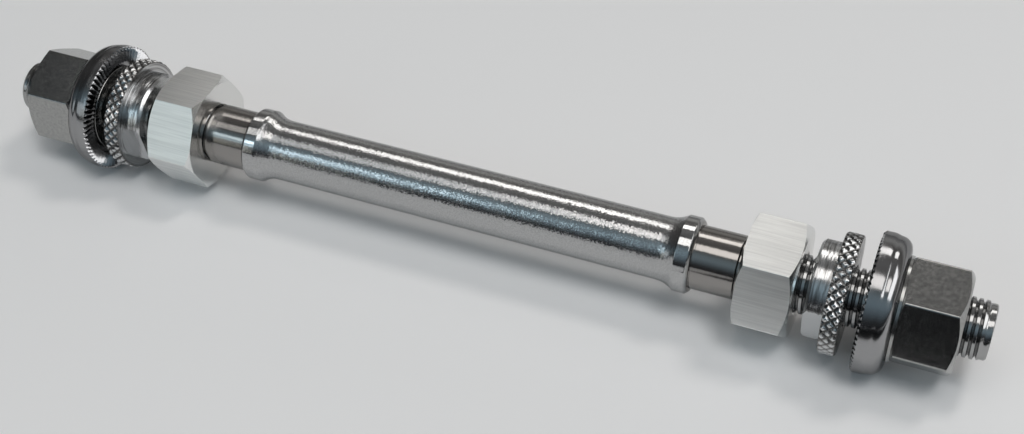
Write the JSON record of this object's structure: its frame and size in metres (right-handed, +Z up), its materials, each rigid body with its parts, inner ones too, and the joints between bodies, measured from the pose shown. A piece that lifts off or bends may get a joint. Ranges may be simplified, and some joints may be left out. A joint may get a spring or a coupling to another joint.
{
  "type": "hollow hub axle",
  "caption": "Hollow turned hub axle with ground bearing seats, alloy hexagon nuts, knurled locknuts and track nuts with captive serrated washers for clamping in frame dropouts.",
  "frame": {"origin": "middle of the axle, on its centre line", "axes": "+X along the axle towards the end nearer the camera in the picture, +Z up, camera on the -Y side"},
  "size_m": [0.1644, 0.0216, 0.0216],
  "materials": {
    "axle_steel": "satin, turned and polished",
    "alloy": "satin, machined",
    "locknut_steel": "bright plated, knurled rim",
    "washer_steel": "bright plated",
    "nut_steel": "satin plated"
  },
  "bodies": {
    "axle": {"axle": "axle_steel"},
    "left_alloy_nut": {"left_alloy_nut": "alloy"},
    "right_alloy_nut": {"right_alloy_nut": "alloy"},
    "left_locknut": {"left_locknut": "locknut_steel"},
    "right_locknut": {"right_locknut": "locknut_steel"},
    "left_washer": {"left_washer": "washer_steel"},
    "right_washer": {"right_washer": "washer_steel"},
    "left_track_nut": {"left_track_nut": "nut_steel"},
    "right_track_nut": {"right_track_nut": "nut_steel"}
  },
  "joints": [
    {"name": "left_alloy_nut_turn", "type": "hinge", "parent": "axle", "child": "left_alloy_nut", "pos_m": [-0.05, 0, 0], "axis": [-1, 0, 0], "range_deg": [0, 360]},
    {"name": "right_alloy_nut_turn", "type": "hinge", "parent": "axle", "child": "right_alloy_nut", "pos_m": [0.05, 0, 0], "axis": [1, 0, 0], "range_deg": [0, 360]},
    {"name": "left_locknut_turn", "type": "hinge", "parent": "axle", "child": "left_locknut", "pos_m": [-0.0593, 0, 0], "axis": [-1, 0, 0], "range_deg": [-720, 720]},
    {"name": "right_locknut_turn", "type": "hinge", "parent": "axle", "child": "right_locknut", "pos_m": [0.0588, 0, 0], "axis": [1, 0, 0], "range_deg": [-540, 720]},
    {"name": "left_washer_slide", "type": "slide", "parent": "axle", "child": "left_washer", "axis": [-1, 0, 0], "range_m": [-0.0021, 0.0033]},
    {"name": "left_track_nut_turn", "type": "hinge", "parent": "left_washer", "child": "left_track_nut", "pos_m": [-0.074, 0, 0], "axis": [-1, 0, 0], "range_deg": [-720, 1080]},
    {"name": "right_washer_slide", "type": "slide", "parent": "axle", "child": "right_washer", "axis": [1, 0, 0], "range_m": [-0.0021, 0.0033]},
    {"name": "right_track_nut_turn", "type": "hinge", "parent": "right_washer", "child": "right_track_nut", "pos_m": [0.074, 0, 0], "axis": [1, 0, 0], "range_deg": [-720, 1080]}
  ],
  "couplings": [
    {"joint": "left_washer_slide", "follows": "left_track_nut_turn", "m_per_rad": 0.00015915},
    {"joint": "right_washer_slide", "follows": "right_track_nut_turn", "m_per_rad": 0.00015915}
  ]
}
